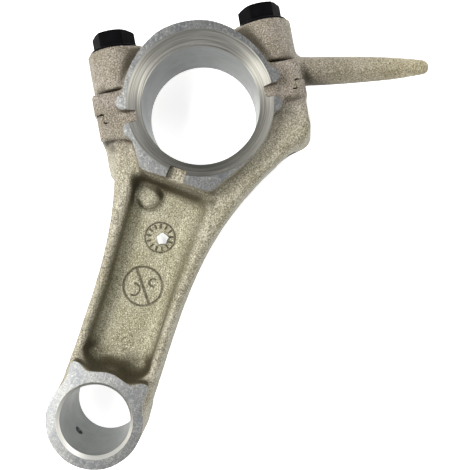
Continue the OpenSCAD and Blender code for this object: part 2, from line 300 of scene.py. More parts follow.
DIAL = (35.4, 0.2, 4.0, 13)  # x, y, radius and number of ticks
BARRED_RING = (49.2, 0.0, 5.2, 2.22)  # x, y, radius and the bar's turn
FLANGE_RINGS = ((45.5, -10.4), (62.4, -10.2), (47.6, 10.4), (63.6, 10.3), (33.5, -12.4))
LINE_SOFTNESS = 0.24
WEB_MARK_DEPTH = 0.28
FLANGE_MARK_DEPTH = 0.15


def ring_mark(b, cx, cy, radius, half):
    """A plain ring, its line twice the half width across."""
    return np.abs(np.hypot(b.x - cx, b.y - cy) - radius) - half


def dial_mark(b, cx, cy, radius, ticks):
    """A plain dial: a ring with short ticks inside it."""
    turn = np.arctan2(b.y - cy, b.x - cx)
    out = np.hypot(b.x - cx, b.y - cy)
    pitch = 2 * math.pi / ticks
    across = np.abs((turn + pitch / 2) % pitch - pitch / 2) * out - 0.22
    tick = np.maximum(across, np.abs(out - radius + 0.95) - 0.6)
    return np.minimum(ring_mark(b, cx, cy, radius, 0.16), tick)


def barred_mark(b, cx, cy, radius, tilt):
    """A ring cut in two by a slanting bar, with a pair of short arcs in each half."""
    x, y = b.x - cx, b.y - cy
    bar = np.maximum(np.abs(x * math.cos(tilt) + y * math.sin(tilt)) - 0.3, np.hypot(x, y) - radius)
    mark = np.minimum(ring_mark(b, cx, cy, radius, 0.24), bar)
    for share, size in ((-0.5, 1.6), (0.55, 1.0)):
        ax, ay = share * radius * math.cos(tilt), share * radius * math.sin(tilt)
        arc = np.abs(np.hypot(x - ax, y - ay) - size) - 0.2
        mark = np.minimum(mark, np.maximum(arc, size * (y - ay) * share - 0.3))
    return mark


class Plan:
    """Points, with their coordinates apart, for the marks."""

    def __init__(self, points):
        self.x, self.y, self.z = points[:, 0], points[:, 1], points[:, 2]


def web_marks(points):
    """Distance of each point in the plan from the nearest line of the web's marks."""
    b = Plan(points)
    return np.minimum(dial_mark(b, *DIAL), barred_mark(b, *BARRED_RING))


def faint_marks(points):
    """Distance from the two faint rings near the small end."""
    b = Plan(points)
    return np.minimum(ring_mark(b, 64.6, 0.3, 1.0, 0.15), ring_mark(b, 64.6, 0.3, 2.2, 0.1))


def flange_marks(points):
    """Distance from the small rings on the flanges."""
    b = Plan(points)
    return np.minimum.reduce([ring_mark(b, x, y, 1.5, 0.12) for x, y in FLANGE_RINGS])


def cut_marks(thing):
    """Divides the faces round the marks and sinks the marks' lines into them."""
    mesh = bmesh.new()
    mesh.from_mesh(thing.data)
    for band in ((0.5, 0.3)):
        centres = np.array([f.calc_center_median()[:] for f in mesh.faces]) / MM
        near = np.abs(centres[:, 2])
        lines = np.minimum(web_marks(centres), faint_marks(centres))
        web = (lines < band) & (near < WEB_HALF + 1) & (near > WEB_HALF - 1)
        top = (flange_marks(centres) < band) & (near > FLANGE_HALF - 1) & (near < FLANGE_HALF + 0.5)
        mesh.faces.ensure_lookup_table()
        chosen = [mesh.faces[i] for i in np.nonzero(web | top)[0]]
        edges = list({e for f in chosen for e in f.edges})
        bmesh.ops.subdivide_edges(mesh, edges=edges, cuts=1, use_grid_fill=True)
    mesh.to_mesh(thing.data)
    mesh.free()
    points = np.empty(len(thing.data.vertices) * 3, np.float32)
    thing.data.vertices.foreach_get("co", points)
    points = points.reshape(-1, 3) / MM
    high = np.abs(points[:, 2])
    web = np.clip(0.5 - web_marks(points) / LINE_SOFTNESS, 0, 1)
    web = np.maximum(web, 0.4 * np.clip(0.5 - faint_marks(points) / LINE_SOFTNESS, 0, 1))
    web *= (high > WEB_HALF - 1) * (high < WEB_HALF + 1)
    top = np.clip(0.5 - flange_marks(points) / LINE_SOFTNESS, 0, 1) * (high > FLANGE_HALF - 1)
    top *= high < FLANGE_HALF + 0.5
    points[:, 2] -= np.sign(points[:, 2]) * (WEB_MARK_DEPTH * web + FLANGE_MARK_DEPTH * top)
    thing.data.vertices.foreach_set("co", (points * MM).ravel())
    # where the marks' lines are, for the painted shade that the casting's finish puts in them
    mark = thing.data.attributes.new("mark", "FLOAT", "POINT")
    mark.data.foreach_set("value", np.maximum(web, 0.6 * top).astype(np.float32))


# ---------------------------------------------------------------- from a field to a mesh

CORNERS = [(i, j, k) for i in (0, 1) for j in (0, 1) for k in (0, 1)]


def weights(share):
    """Each corner of a cell, and its weight for points that lie a share of the way across the cell."""
    for corner in CORNERS:
        weight = np.ones(len(share), np.float32)
        for axis, far in enumerate(corner):
            weight = weight * (share[:, axis] if far else 1 - share[:, axis])
        yield corner, weight


def sample(field, block_low, step, points):
    """The field at any points, interpolated between its samples."""
    place = (points - block_low) / step
    cell = np.clip(np.floor(place).astype(np.int32), 0, np.array(field.shape) - 2)
    share = place - cell
    total = np.zeros(len(points), np.float32)
    for (dx, dy, dz), weight in weights(share):
        total += weight * field[cell[:, 0] + dx, cell[:, 1] + dy, cell[:, 2] + dz]
    return total


def slope(field, low, step, points):
    """The field's gradient at any points."""
    columns = []
    for axis in range(3):
        shift = np.zeros(3, np.float32)
        shift[axis] = 0.5 * step
        ahead = sample(field, low, step, points + shift)
        behind = sample(field, low, step, points - shift)
        columns.append((ahead - behind) / step)
    return np.stack(columns, 1)


def surface_net(field, low, step):
    """A closed quad mesh of the field's zero surface: one vertex in each cell that the surface crosses."""
    inside = field < 0
    count = np.zeros(tuple(n - 1 for n in field.shape), np.uint8)
    spans = [n - 1 for n in field.shape]
    for c in CORNERS:
        count += inside[tuple(slice(o, o + n) for o, n in zip(c, spans))]
    cells = np.argwhere((count > 0) & (count < 8)).astype(np.int32)
    index = np.full(count.shape, -1, np.int32)
    index[tuple(cells.T)] = np.arange(len(cells), dtype=np.int32)
    value = {c: field[tuple((cells + np.array(c)).T)] for c in CORNERS}
    total = np.zeros((len(cells), 3), np.float32)
    crossings = np.zeros(len(cells), np.float32)
    for c in CORNERS:
        for axis in range(3):
            if c[axis]:
                continue
            d = tuple(1 if n == axis else c[n] for n in range(3))
            a, b = value[c], value[d]
            cross = (a < 0) != (b < 0)
            share = np.where(cross, a / np.where(cross, a - b, 1), 0)
            for n in range(3):
                total[:, n] += np.where(cross, share if n == axis else c[n], 0)
            crossings += cross
    points = (cells + total / crossings[:, None]) * step + low
    for _ in range(3):
        away = sample(field, low, step, points)
        lean = slope(field, low, step, points)
        size = np.maximum((lean ** 2).sum(1), 0.05)
        points = points - np.clip(away / size, -0.3 * step, 0.3 * step)[:, None] * lean
    quads = []
    for axis in range(3):
        ahead = [slice(None)] * 3
        behind = [slice(None)] * 3
        ahead[axis], behind[axis] = slice(1, None), slice(None, -1)
        first, second = inside[tuple(behind)], inside[tuple(ahead)]
        u, v = [n for n in range(3) if n != axis]
        edges = np.argwhere(first != second)
        edges = edges[(edges[:, u] > 0) & (edges[:, v] > 0)]
        outward = first[tuple(edges.T)] ^ (axis == 1)
        ring = []
        for du, dv in ((0, 0), (1, 0), (1, 1), (0, 1)):
            cell = edges.copy()
            cell[:, u] -= du
            cell[:, v] -= dv
            ring.append(index[tuple(cell.T)])
        quad = np.stack(ring, 1)
        quad[~outward] = quad[~outward][:, ::-1]
        quads.append(quad)
    return points, np.concatenate(quads)


def value_noise(points, scale, seed):
    """Smooth random numbers between -1 and 1 that vary over about one scale, in millimetres."""
    size = 64
    lattice = np.random.default_rng(seed).uniform(-1, 1, (size,) * 3).astype(np.float32)
    place = points / scale + 1000
    cell = np.floor(place).astype(np.int32)
    share = place - cell
    share = share * share * (3 - 2 * share)
    total = np.zeros(len(points), np.float32)
    for corner, weight in weights(share):
        at = (cell + np.array(corner)) % size
        total += weight * lattice[at[:, 0], at[:, 1], at[:, 2]]
    return total


def new_mesh_object(name, points, faces, material):
    """A mesh object from points in millimetres."""
    mesh = bpy.data.meshes.new(name)
    sides = len(faces[0])
    mesh.vertices.add(len(points))
    mesh.vertices.foreach_set("co", (np.asarray(points, np.float64) * MM).astype(np.float32).ravel())
    mesh.loops.add(len(faces) * sides)
    mesh.loops.foreach_set("vertex_index", np.asarray(faces, np.int32).ravel())
    mesh.polygons.add(len(faces))
    mesh.polygons.foreach_set("loop_start", np.arange(0, len(faces) * sides, sides, dtype=np.int32))
    mesh.polygons.foreach_set("use_smooth", np.ones(len(faces), bool))
    mesh.update(calc_edges=True)
    mesh.materials.append(material)
    thing = bpy.data.objects.new(name, mesh)
    bpy.context.scene.collection.objects.link(thing)
    return thing


# Painted shade: how far each point of a casting is darkened, standing in for shade in corners, on steep walls and at
# both ends of the pocket.
PAINTED_SHADE_REACHES = ((3.2, 0.6), (8.0, 0.5))  # distance looked out to, and weight
WALL_PAINTED_SHADE = 0.48
PIN_END_PAINTED_SHADE, PIN_END_REACH = 0.5, 9.0
BIG_END_PAINTED_SHADE, BIG_END_REACH = 0.45, 3.5


def painted_shade_of(points, normal, near):
    """How much painted shade each point gets, from 0 to about 1: in corners, on steep walls and at both ends of the
    pocket.
    """
    x, y, high = points[:, 0], points[:, 1], np.abs(points[:, 2])
    total = np.zeros(len(points), np.float32)
    for reach, weight in PAINTED_SHADE_REACHES:
        total += weight * (1 - np.clip(near(points + reach * normal) / reach, 0, 1))
    # painted shade on walls: the steeper the surface, the darker
    total += WALL_PAINTED_SHADE * (1 - np.abs(normal[:, 2]))
    total *= np.clip((BIG_HALF - high) / 3.5, 0.3, 1)
    # painted shade at both ends of the pocket, against the small end's wall and under the big end's apron
    pin_end = np.hypot(x - 71.5, 0.6 * (y - 1.5))
    total += PIN_END_PAINTED_SHADE * np.clip(1 - pin_end / PIN_END_REACH, 0, 1) * (np.abs(y) < 9.5)
    big_end = np.abs(x - 22.5) * (np.abs(y) < 11.5) * (high < 9)
    total += BIG_END_PAINTED_SHADE * np.clip(1 - big_end / BIG_END_REACH, 0, 1) * (big_end > 0)
    return total


def cast_object(name, make_field, low, high, material):
    """A casting: its field over the upper half, mirrored, meshed and given a slightly uneven skin."""
    half = Block((low[0], low[1], 0), (high[0], high[1], BIG_HALF + PROUD + 2 * STEP), STEP)
    upper = np.broadcast_to(make_field(half), np.broadcast_shapes(half.x.shape, half.y.shape, half.z.shape))
    field = np.concatenate((upper[:, :, :0:-1], upper), 2).astype(np.float32)
    top = half.low[2] + (upper.shape[2] - 1) * STEP
    block = Block((low[0], low[1], -top), (high[0], high[1], top - STEP / 2), STEP)
    points, quads = surface_net(field, block.low, STEP)
    lean = slope(field, block.low, STEP, points)
    normal = lean / np.maximum(np.linalg.norm(lean, axis=1), 1e-6)[:, None]
    # painted shade, stored on the points for the casting's finish
    painted_shade_amount = painted_shade_of(points, normal, lambda places: sample(field, block.low, STEP, places))
    skin = 0.035 * value_noise(points, 1.1, 3) + 0.05 * value_noise(points, 3.4, 5)
    points = points + skin[:, None] * normal
    thing = new_mesh_object(name, points, quads, material)
    shelter = thing.data.attributes.new("shelter", "FLOAT", "POINT")
    shelter.data.foreach_set("value", painted_shade_amount)
    return thing


# ---------------------------------------------------------------- solids for the machining and the bolts

def joint_point(depth, side, z):
    """A point given by its depth into the rod and its side, in the row's frame."""
    return (depth * math.cos(SPLIT) - side * math.sin(SPLIT),
            depth * math.sin(SPLIT) + side * math.cos(SPLIT), z)


def place_upright(cx, cy=0):
    """Places a turned profile's axis along Z, at a point in the plan."""
    return lambda r, along, turn: (cx + r * math.cos(turn), cy + r * math.sin(turn), along)


def place_on_bolt(way):
    """Places a turned profile's axis on a bolt's axis, with the depth along it."""
    def place(r, along, turn):
        return joint_point(along, way * BOLT_U + r * math.cos(turn), r * math.sin(turn))
    return place


def place_oil_hole(r, along, turn):
    """Places a turned profile's axis across the small end's wall, with the distance from the pin's axis along it."""
    across = r * math.cos(turn)
    x = CENTRE + along * math.cos(OIL_HOLE_TURN) - across * math.sin(OIL_HOLE_TURN)
    y = along * math.sin(OIL_HOLE_TURN) + across * math.cos(OIL_HOLE_TURN)
    return (x, y, r * math.sin(turn))


def turned(name, rows, place, materials, sides=192, shape=None):
    """A closed solid turned from rows of (radius, distance along, index of the material up to the next row)."""
    points, faces, slots = [], [], []
    for r, along, _ in rows:
        for n in range(sides):
            turn = 2 * math.pi * n / sides
            points.append(place(shape(r, along, turn) if shape else r, along, turn))
    for i in range(len(rows) - 1):
        for n in range(sides):
            m = (n + 1) % sides
            faces.append((i * sides + n, i * sides + m, (i + 1) * sides + m, (i + 1) * sides + n))
            slots.append(rows[i][2])
    faces.append(tuple(range(sides))[::-1])
    faces.append(tuple((len(rows) - 1) * sides + n for n in range(sides)))
    slots += [rows[0][2], rows[-1][2]]
    return solid(name, points, faces, materials, slots)


def prism(name, outline, half, materials):
    """A closed solid over an outline of (depth, side) points, as high as twice the half height."""
    count = len(outline)
    points = [joint_point(d, s, z) for z in (-half, half) for d, s in outline]
    faces = [tuple(range(count))[::-1], tuple(range(count, 2 * count))]
    faces += [(n, (n + 1) % count, count + (n + 1) % count, count + n) for n in range(count)]
    return solid(name, points, faces, materials)


def solid(name, points, faces, materials, slots=None):
    """A closed mesh object with its faces turned outwards."""
    mesh = bpy.data.meshes.new(name)
    mesh.from_pydata([[c * MM for c in p] for p in points], [], faces)
    for material in materials:
        mesh.materials.append(material)
    if slots:
        mesh.polygons.foreach_set("material_index", slots)
    tidy = bmesh.new()
    tidy.from_mesh(mesh)
    bmesh.ops.remove_doubles(tidy, verts=tidy.verts, dist=1e-7)
    bmesh.ops.recalc_face_normals(tidy, faces=tidy.faces)
    tidy.to_mesh(mesh)
    tidy.free()
    thing = bpy.data.objects.new(name, mesh)
    bpy.context.scene.collection.objects.link(thing)
    return thing


def combine(thing, tool, operation="DIFFERENCE"):
    """Cuts a tool out of a piece, or joins or intersects them, and removes the tool."""
    faces_before = len(thing.data.polygons)
    for solver in ("MANIFOLD", "EXACT"):
        step = thing.modifiers.new("combine", "BOOLEAN")
        step.operation = operation
        step.solver = solver
        step.object = tool
        step.material_mode = "TRANSFER"
        graph = bpy.context.evaluated_depsgraph_get()
        result = bpy.data.meshes.new_from_object(thing.evaluated_get(graph), depsgraph=graph)
        thing.modifiers.clear()
        if len(result.polygons) > 0.3 * faces_before:
            break
    old = thing.data
    thing.data = result
    result.name = thing.name
    bpy.data.meshes.remove(old)
    bpy.data.objects.remove(tool)
    return thing


def slab(name, low, high, materials):
    """A box between two corners."""
    points = [(x, y, z) for x in (low[0], high[0]) for y in (low[1], high[1]) for z in (low[2], high[2])]
    faces = [(0, 1, 3, 2), (4, 6, 7, 5), (0, 4, 5, 1), (2, 3, 7, 6), (0, 2, 6, 4), (1, 5, 7, 3)]
    return solid(name, points, faces, materials)


def bore_rows(radius, half, wall_half, mouth_radius, over=1.5):
    """A bore's profile with a chamfer at each mouth. The bore's wall has material 0 and the chamfers 1."""
    rise = (mouth_radius - radius) / (half - wall_half)
    outer = mouth_radius + rise * over
    return [(outer, -half - over, 1), (radius, -wall_half, 0), (radius, wall_half, 1), (outer, half + over, 1)]


def thread_shape(gap):
    """Radius of a right-hand thread, wider by the gap in a hole. It fades in at its start."""
    start = -4.5

    def shape(r, along, turn):
        phase = (along / THREAD_PITCH - turn / (2 * math.pi)) % 1
        tooth = min(max((0.5 - abs(phase - 0.5)) * 2.6 - 0.4, 0), 1)
        fade = min(max((along - start) / 1.5, 0), 1)
        groove = (THREAD_MAJOR - THREAD_MINOR) * (1 - tooth) * fade
        return max(r - groove + gap, 0.4 * r)
    return shape


def threaded_rows(first, last):
    """Rows of a turned profile, close enough together to carry the thread."""
    count = max(2, int(round((last - first) / THREAD_STEP)))
    return [(THREAD_MAJOR, first + (last - first) * n / count, 0) for n in range(count + 1)]


# ---------------------------------------------------------------- finishes

class Finish:
    """A procedural material. Its patterns use the piece's own coordinates, in millimetres."""

    def __init__(self, name, colour, metallic, roughness):
        self.material = bpy.data.materials.new(name)
        self.material.use_nodes = True
        self.tree = self.material.node_tree
        self.tree.nodes.clear()
        self.shader = self.add("ShaderNodeBsdfPrincipled")
        self.shader.inputs["Metallic"].default_value = metallic
        self.shader.inputs["Roughness"].default_value = roughness
        self.shader.inputs["Base Color"].default_value = (*colour, 1)
        out = self.add("ShaderNodeOutputMaterial")
        self.link(self.shader.outputs[0], out.inputs["Surface"])
        coords = self.add("ShaderNodeTexCoord").outputs["Object"]
        self.mm = self.vector("SCALE", coords, scale=1 / MM)

    def add(self, kind, **settings):
        """A new node."""
        made = self.tree.nodes.new(kind)
        for key, value in settings.items():
            setattr(made, key, value)
        return made

    def link(self, source, target):
        self.tree.links.new(source, target)

    def give(self, socket, value):
        """Links a socket's value, or sets it."""
        if isinstance(value, bpy.types.NodeSocket):
            self.link(value, socket)
        elif isinstance(value, (tuple, list)) and len(value) == 3 and socket.type == "RGBA":
            socket.default_value = (*value, 1)
        else:
            socket.default_value = value

    def vector(self, operation, a, b=None, scale=None):
        """The result of vector maths."""
        made = self.add("ShaderNodeVectorMath", operation=operation)
        self.give(made.inputs[0], a)
        if b is not None:
            self.give(made.inputs[1], b)
        if scale is not None:
            self.give(made.inputs["Scale"], scale)
        return made.outputs["Value" if operation in ("LENGTH", "DISTANCE") else "Vector"]

    def maths(self, operation, a, b=0.0):
        """The result of maths on numbers."""
        made = self.add("ShaderNodeMath", operation=operation)
        self.give(made.inputs[0], a)
        self.give(made.inputs[1], b)
        return made.outputs[0]

    def noise(self, size, detail=2.0, roughness=0.5, at=None, distortion=0.0):
        """Noise whose features are about one size across, in millimetres."""
        made = self.add("ShaderNodeTexNoise")
        self.give(made.inputs["Vector"], at or self.mm)
        made.inputs["Scale"].default_value = 1 / size
        made.inputs["Detail"].default_value = detail
        made.inputs["Roughness"].default_value = roughness
        made.inputs["Distortion"].default_value = distortion
        return made.outputs["Fac"]

    def spots(self, size):
        """Distance from the nearest of many scattered points, one size apart."""
        made = self.add("ShaderNodeTexVoronoi")
        self.link(self.mm, made.inputs["Vector"])
        made.inputs["Scale"].default_value = 1 / size
        return made.outputs["Distance"]

    def remap(self, value, low, high, new_low=0.0, new_high=1.0, smooth=False):
        """A value moved from one range to another, and kept inside it."""
        made = self.add("ShaderNodeMapRange", clamp=True)
        if smooth:
            made.interpolation_type = "SMOOTHSTEP"
        self.give(made.inputs["Value"], value)
        for key, number in zip(("From Min", "From Max", "To Min", "To Max"), (low, high, new_low, new_high)):
            made.inputs[key].default_value = number
        return made.outputs["Result"]

    def mix(self, share, a, b, blend="MIX"):
        """Two colours mixed."""
        made = self.add("ShaderNodeMix", data_type="RGBA", blend_type=blend)
        self.give(made.inputs["Factor"], share)
        self.give(made.inputs[6], a)
        self.give(made.inputs[7], b)
        return made.outputs[2]

    def bump(self, height, strength, distance_mm, normal=None):
        """A normal bumped by a height, over another if one is given."""
        made = self.add("ShaderNodeBump")
        self.give(made.inputs["Height"], height)
        made.inputs["Strength"].default_value = strength
        made.inputs["Distance"].default_value = distance_mm * MM
        if normal is not None:
            self.link(normal, made.inputs["Normal"])
        return made.outputs["Normal"]

    def round_tangent(self, cx, cy):
        """The direction round a point in the plan, in world space, for turned and fly-cut marks."""
        away = self.vector("SUBTRACT", self.mm, (cx, cy, 0))
        around = self.vector("CROSS_PRODUCT", (0, 0, 1), away)
        turn = self.add("ShaderNodeVectorTransform", vector_type="VECTOR", convert_from="OBJECT",
                        convert_to="WORLD")
        self.link(around, turn.inputs[0])
        return self.vector("NORMALIZE", turn.outputs[0])

    def distance_from(self, cx, cy):
        """Distance in the plan from a point, in millimetres."""
        flat = self.vector("MULTIPLY", self.mm, (1, 1, 0))
        return self.vector("DISTANCE", flat, (cx, cy, 0))

    def streaks(self, cx, cy, size, detail=3.0):
        """Noise that varies with the distance from a point in the plan and hardly along the arc."""
        out = self.distance_from(cx, cy)
        place = self.add("ShaderNodeCombineXYZ")
        self.link(out, place.inputs[0])
        slow = self.vector("SCALE", self.mm, scale=0.03)
        return self.noise(size, detail, 0.6, at=self.vector("ADD", place.outputs[0], slow))

    def to(self, name, value):
        """Gives one of the shader's inputs its value."""
        self.give(self.shader.inputs[name], value)


def cast_finish():
    """Shot-blasted casting skin: warm grey and finely pitted, with painted glints on the grain and painted shade,
    near-black brown, in corners, on steep walls, at the pocket's ends and in the marks' lines.
    """
    f = Finish("cast_aluminium_skin", (0.4, 0.36, 0.29), 0.35, 0.5)
    grain = f.noise(0.34, 3.0, 0.65)
    pits = f.spots(0.5)
    blotch = f.noise(9.0, 3.0, 0.55)
    patch = f.noise(1.4, 2.0, 0.5)
    colour = f.mix(f.remap(blotch, 0.35, 0.65), (0.31, 0.29, 0.205), (0.43, 0.41, 0.335))
    colour = f.mix(f.remap(patch, 0.35, 0.7, 0.0, 0.5), colour, (0.22, 0.20, 0.13))
    # bright specks on the grain's high spots: partly the grain's own tone, partly painted glints
    speck_and_glint = f.maths("MULTIPLY", f.remap(grain, 0.53, 0.67), 0.7)
    colour = f.mix(speck_and_glint, colour, (0.80, 0.78, 0.68))
    dark = f.maths("MULTIPLY", f.remap(grain, 0.48, 0.36), 0.8)
    colour = f.mix(dark, colour, (0.07, 0.06, 0.035))
    # painted shade: the attribute darkens corners, steep walls and the pocket's ends to near-black brown
    shelter = f.add("ShaderNodeAttribute", attribute_name="shelter", attribute_type="GEOMETRY").outputs["Fac"]
    painted_shade_share = f.remap(shelter, 0.2, 0.8, 0.0, 0.92, smooth=True)
    colour = f.mix(painted_shade_share, colour, (0.06, 0.05, 0.025))
    # painted shade in the sunk lines of the cast marks, weaker in patches
    mark = f.add("ShaderNodeAttribute", attribute_name="mark", attribute_type="GEOMETRY").outputs["Fac"]
    mark_painted_shade = f.maths("MULTIPLY", mark, f.remap(patch, 0.3, 0.65, 1.0, 0.6))
    colour = f.mix(mark_painted_shade, colour, (0.06, 0.05, 0.03))
    place = f.add("ShaderNodeSeparateXYZ")
    f.link(f.mm, place.inputs[0])
    raised = f.remap(f.maths("ABSOLUTE", place.outputs[2]), 2.5, 9.0)
    tint = f.mix(raised, (0.99, 0.985, 0.90), (0.96, 0.935, 0.92))
    colour = f.mix(1.0, colour, tint, "MULTIPLY")
    depth = f.maths("ADD", f.maths("MULTIPLY", place.outputs[0], math.cos(SPLIT)),
                    f.maths("MULTIPLY", place.outputs[1], math.sin(SPLIT)))
    stain = f.mix(f.remap(depth, 1, 12), (0.72, 0.68, 0.72), (1, 1, 1))
    dipper = f.remap(place.outputs[1], 28, 50)
    f.to("Base Color", f.mix(1.0, colour, f.mix(dipper, stain, (1.1, 1.03, 0.95)), "MULTIPLY"))
    f.to("Roughness", f.remap(grain, 0.3, 0.7, 0.6, 0.4))
    height = f.maths("ADD", f.maths("MULTIPLY", grain, 0.9), f.maths("MULTIPLY", pits, 0.5))
    f.to("Normal", f.bump(height, 0.9, 0.2, f.bump(patch, 0.4, 0.3)))
    return f.material


CUTTER_CENTRE = (70, -160)  # of the arcs that the fly cutter left


def milled_finish():
    """A fly-cut face: pale, with fine arcs from the cutter and torn patches."""
    f = Finish("fly_cut_face", (0.5, 0.5, 0.5), 0.95, 0.34)
    arcs = f.streaks(*CUTTER_CENTRE, 0.35)
    tears = f.noise(0.6, 4.0, 0.7, distortion=0.4)
    scratches = f.noise(0.3, 3.0, 0.6, distortion=0.3)
    cloud = f.noise(6.0, 3.0, 0.6)
    colour = f.mix(f.remap(cloud, 0.35, 0.65), (0.24, 0.25, 0.26), (0.42, 0.42, 0.40))
    colour = f.mix(f.remap(tears, 0.5, 0.64, 0.0, 0.6), colour, (0.66, 0.66, 0.63))
    colour = f.mix(f.remap(arcs, 0.35, 0.65, 0.0, 0.4), colour, (0.17, 0.18, 0.19))
    torn = f.maths("MULTIPLY", f.remap(scratches, 0.5, 0.38), f.remap(cloud, 0.4, 0.6, 0.1, 0.55))
    colour = f.mix(torn, colour, (0.09, 0.095, 0.11))
    f.to("Base Color", colour)
    f.to("Roughness", f.remap(tears, 0.3, 0.7, 0.27, 0.4))
    f.to("Normal", f.bump(arcs, 0.25, 0.08, f.bump(tears, 0.15, 0.1)))
    f.to("Anisotropic", 0.4)
    f.to("Tangent", f.round_tangent(*CUTTER_CENTRE))
    return f.material


def turned_finish(name, colour, roughness, cx, groove, strength, anisotropy, contrast=0.2):
    """A bored or turned surface, with fine marks round its axis."""
    f = Finish(name, colour, 0.9, roughness)
    rings = f.streaks(cx, 0, groove)
    place = f.add("ShaderNodeSeparateXYZ")
    f.link(f.mm, place.inputs[0])
    lanes = f.add("ShaderNodeCombineXYZ")
    f.link(place.outputs[2], lanes.inputs[2])
    slow = f.vector("SCALE", f.mm, scale=0.02)
    height_marks = f.noise(groove, 2.0, 0.6, at=f.vector("ADD", lanes.outputs[0], slow))
    marks = f.maths("MULTIPLY", f.maths("ADD", rings, height_marks), 0.5)
    dull = tuple((1 - contrast) * c for c in colour)
    f.to("Base Color", f.mix(f.remap(marks, 0.35, 0.65), colour, dull))
    f.to("Roughness", f.remap(marks, 0.3, 0.7, roughness - 0.05, roughness + 0.08))
    f.to("Normal", f.bump(marks, strength, 0.05))
    f.to("Anisotropic", anisotropy)
    f.to("Tangent", f.round_tangent(cx, 0))
    return f.material


def black_finish():
    """Black oxide on a forged bolt, slightly oily."""
    f = Finish("black_oxide", (0.004, 0.004, 0.005), 0.0, 0.5)
    f.to("Specular IOR Level", 0.03)
    grain = f.noise(0.3, 3.0, 0.6)
    cloud = f.noise(2.5, 2.0, 0.5)
    colour = f.mix(f.remap(cloud, 0.35, 0.7), (0.0015, 0.0015, 0.002), (0.004, 0.004, 0.005))
    f.to("Base Color", colour)
    f.to("Roughness", f.remap(cloud, 0.3, 0.7, 0.55, 0.7))
    f.to("Normal", f.bump(grain, 0.25, 0.05))
    return f.material


CAST = cast_finish()
MILLED = milled_finish()
BORED = turned_finish("bored_wall", (0.12, 0.13, 0.125), 0.34, 0, 0.18, 0.12, 0.5)
CHAMFER = turned_finish("turned_chamfer", (0.54, 0.53, 0.485), 0.3, 0, 0.34, 0.5, 0.65, 0.65)
PIN_BORED = turned_finish("pin_bore_wall", (0.18, 0.19, 0.18), 0.34, CENTRE, 0.15, 0.12, 0.5)
PIN_CHAMFER = turned_finish("pin_bore_chamfer", (0.80, 0.79, 0.74), 0.42, CENTRE, 0.3, 0.3, 0.5)
BLACK = black_finish()
# a ground spot: its pale, mostly matt colour is a painted highlight
SPOT = Finish("bright_spot", (0.70, 0.71, 0.71), 0.3, 0.45).material


# ---------------------------------------------------------------- the pieces

def machine_faces(thing, low_x, high_x, half):
    """Faces both sides of a casting, between two places along the rod."""
    for way in (-1, 1):
        z = (way * half, way * (half + 6))
        combine(thing, slab("face", (low_x, -BEYOND, min(z)), (high_x, BEYOND, max(z)), [MILLED]))


def machine_big_bore(thing):
    """Bores a casting for the crank pin, with a chamfer at each mouth."""
    rows = bore_rows(BIG_R, BIG_HALF, MOUNTS["big_end_bore"]["dims"]["length_mm"] / 2, BIG_R + CHAMFER_WIDTH)
    combine(thing, turned("bore", rows, place_upright(0), [BORED, CHAMFER]))


def corner_gap(depth, side):
    """A small opening where the joint steps over the rod's lip, as the castings leave one there."""
    ring = [(depth + 0.36 * math.cos(t), side + 0.62 * math.sin(t)) for t in np.linspace(0, 2 * math.pi, 17)[:-1]]
    return prism("corner_gap", ring, 20, [CAST])


def make_rod():
    """The rod: casting, marks, faces, bores, joint, bolt holes, oil hole and bright spots."""
    rod = cast_object("rod", rod_field, (-26, -34), (99, 31), CAST)
    cut_marks(rod)
    machine_faces(rod, -BEYOND, 50, BIG_HALF)
    machine_faces(rod, 60, 2 * BEYOND, SMALL_HALF)
    machine_big_bore(rod)
    wall_half = MOUNTS["small_end_bore"]["dims"]["length_mm"] / 2
    rows = bore_rows(SMALL_R, SMALL_HALF, wall_half, SMALL_R + SMALL_HALF - wall_half)
    combine(rod, turned("pin_bore", rows, place_upright(CENTRE), [PIN_BORED, PIN_CHAMFER]))
    outline = [(-BEYOND, -BEYOND), (-LIP_HEIGHT, -BEYOND), (-LIP_HEIGHT, -LIP_INNER), (0, -LIP_INNER),
               (0, LIP_INNER), (-LIP_HEIGHT, LIP_INNER), (-LIP_HEIGHT, BEYOND), (-BEYOND, BEYOND)]
    combine(rod, prism("parting", outline, 20, [MILLED]))
    for way in (-1, 1):
        combine(rod, corner_gap(0.0, way * (LIP_INNER - 0.4)))
    for way in (-1, 1):
        rows = threaded_rows(-1.5, HOLE_END)
        rows.append((0.2, HOLE_END + 1.8, 0))
        combine(rod, turned("tapped", rows, place_on_bolt(way), [MILLED], 48, thread_shape(THREAD_GAP)))
    rows = [(DRILL_R, HOLE_END - 1, 0), (DRILL_R, 45, 0)]
    combine(rod, turned("drilled", rows, place_on_bolt(1), [MILLED], 48))
    rows = [(OIL_HOLE_R + 0.5, SMALL_R - 0.6, 0), (OIL_HOLE_R, SMALL_R + 0.4, 0), (OIL_HOLE_R, SMALL_OUTER + 2, 0)]
    combine(rod, turned("oil_hole", rows, place_oil_hole, [MILLED], 32))
    for way in (-1, 1):
        rows = [(2.6, way * (WEB_HALF + SPOT_RISE), 0), (2.6, way * (WEB_HALF + 2), 0)]
        combine(rod, turned("spot", rows, place_upright(SPOT_X, 1), [SPOT], 24))
    return rod


